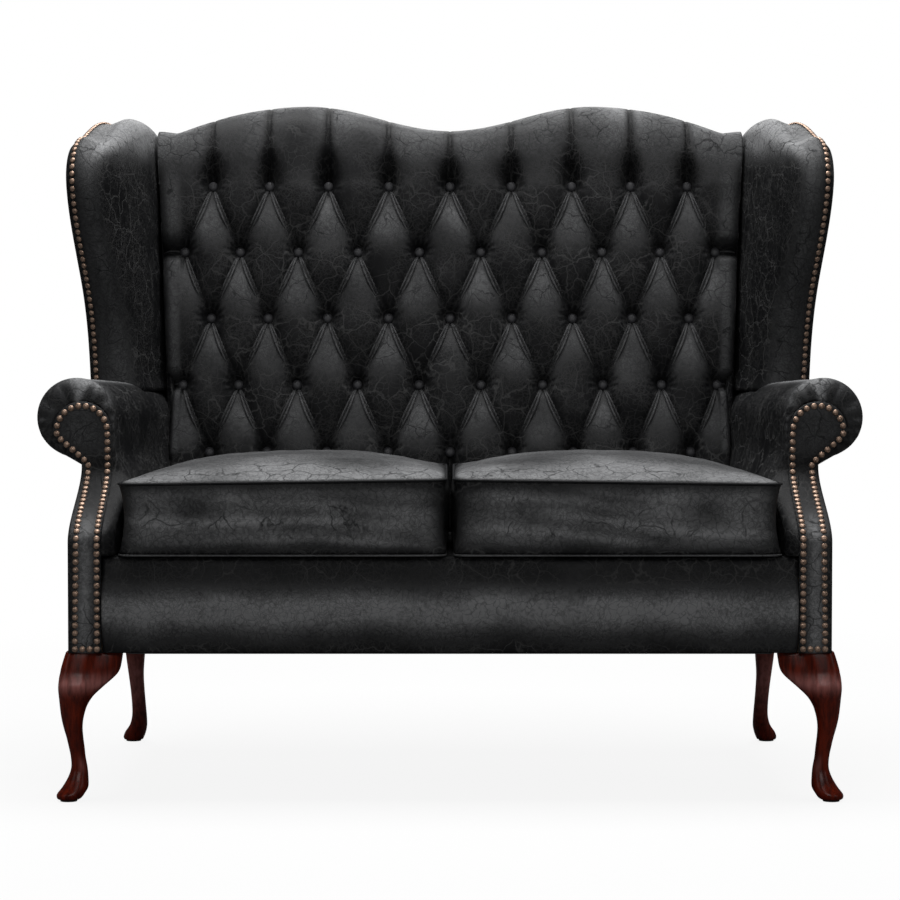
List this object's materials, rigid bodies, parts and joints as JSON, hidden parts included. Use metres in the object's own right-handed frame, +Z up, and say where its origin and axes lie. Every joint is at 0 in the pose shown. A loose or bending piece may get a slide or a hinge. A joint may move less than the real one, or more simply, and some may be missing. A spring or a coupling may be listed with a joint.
{
  "type": "wing settee",
  "caption": "High-back buttoned leather wing settee with scroll arms, loose piped seat cushions, domed nails and cabriole legs.",
  "frame": {"origin": "middle of the footprint, on the floor", "axes": "+X to the right as seen from the front, +Y to the rear, +Z up"},
  "size_m": [1.316, 0.8057, 1.1241],
  "materials": {
    "black_leather": "satin antiqued, finely crackled",
    "button_leather": "satin antiqued",
    "frame_timber": "sawn, unpolished",
    "polished_legs": "dark red-brown gloss polish",
    "aged_brass": "aged, domed heads",
    "webbing": "woven jute",
    "dust_cloth": "plain cloth",
    "glide": "matte"
  },
  "bodies": {
    "settee": {"front_rail": "frame_timber", "rear_rail": "frame_timber", "left_side_rail": "frame_timber", "right_side_rail": "frame_timber", "centre_brace": "frame_timber", "corner_blocks": "frame_timber", "left_arm_post": "frame_timber", "right_arm_post": "frame_timber", "left_arm_rail": "frame_timber", "right_arm_rail": "frame_timber", "left_tack_rail": "frame_timber", "right_tack_rail": "frame_timber", "left_back_post": "frame_timber", "right_back_post": "frame_timber", "back_stile": "frame_timber", "stuffing_rail": "frame_timber", "crest_rail": "frame_timber", "left_wing_board": "frame_timber", "right_wing_board": "frame_timber", "seat_webbing": "webbing", "back_webbing": "webbing", "seat_deck": "black_leather", "front_border": "black_leather", "back_pad": "black_leather", "back_buttons": "button_leather", "left_wing_pad": "black_leather", "right_wing_pad": "black_leather", "left_arm_pad": "black_leather", "right_arm_pad": "black_leather", "left_facing": "black_leather", "right_facing": "black_leather", "left_outside_arm": "black_leather", "right_outside_arm": "black_leather", "left_outside_wing": "black_leather", "right_outside_wing": "black_leather", "left_corner_pad": "black_leather", "right_corner_pad": "black_leather", "outside_back": "black_leather", "dust_cover": "dust_cloth", "left_arm_nails": "aged_brass", "right_arm_nails": "aged_brass", "left_wing_nails": "aged_brass", "right_wing_nails": "aged_brass", "left_front_leg": "polished_legs", "right_front_leg": "polished_legs", "left_rear_leg": "polished_legs", "right_rear_leg": "polished_legs", "glides": "glide"},
    "left_seat": {"left_cushion": "black_leather"},
    "right_seat": {"right_cushion": "black_leather"}
  },
  "joints": [
    {"name": "left_cushion_lift", "type": "slide", "parent": "settee", "child": "left_seat", "axis": [0, 0, 1], "range_m": [0, 0.3]},
    {"name": "right_cushion_lift", "type": "slide", "parent": "settee", "child": "right_seat", "axis": [0, 0, 1], "range_m": [0, 0.3]}
  ]
}
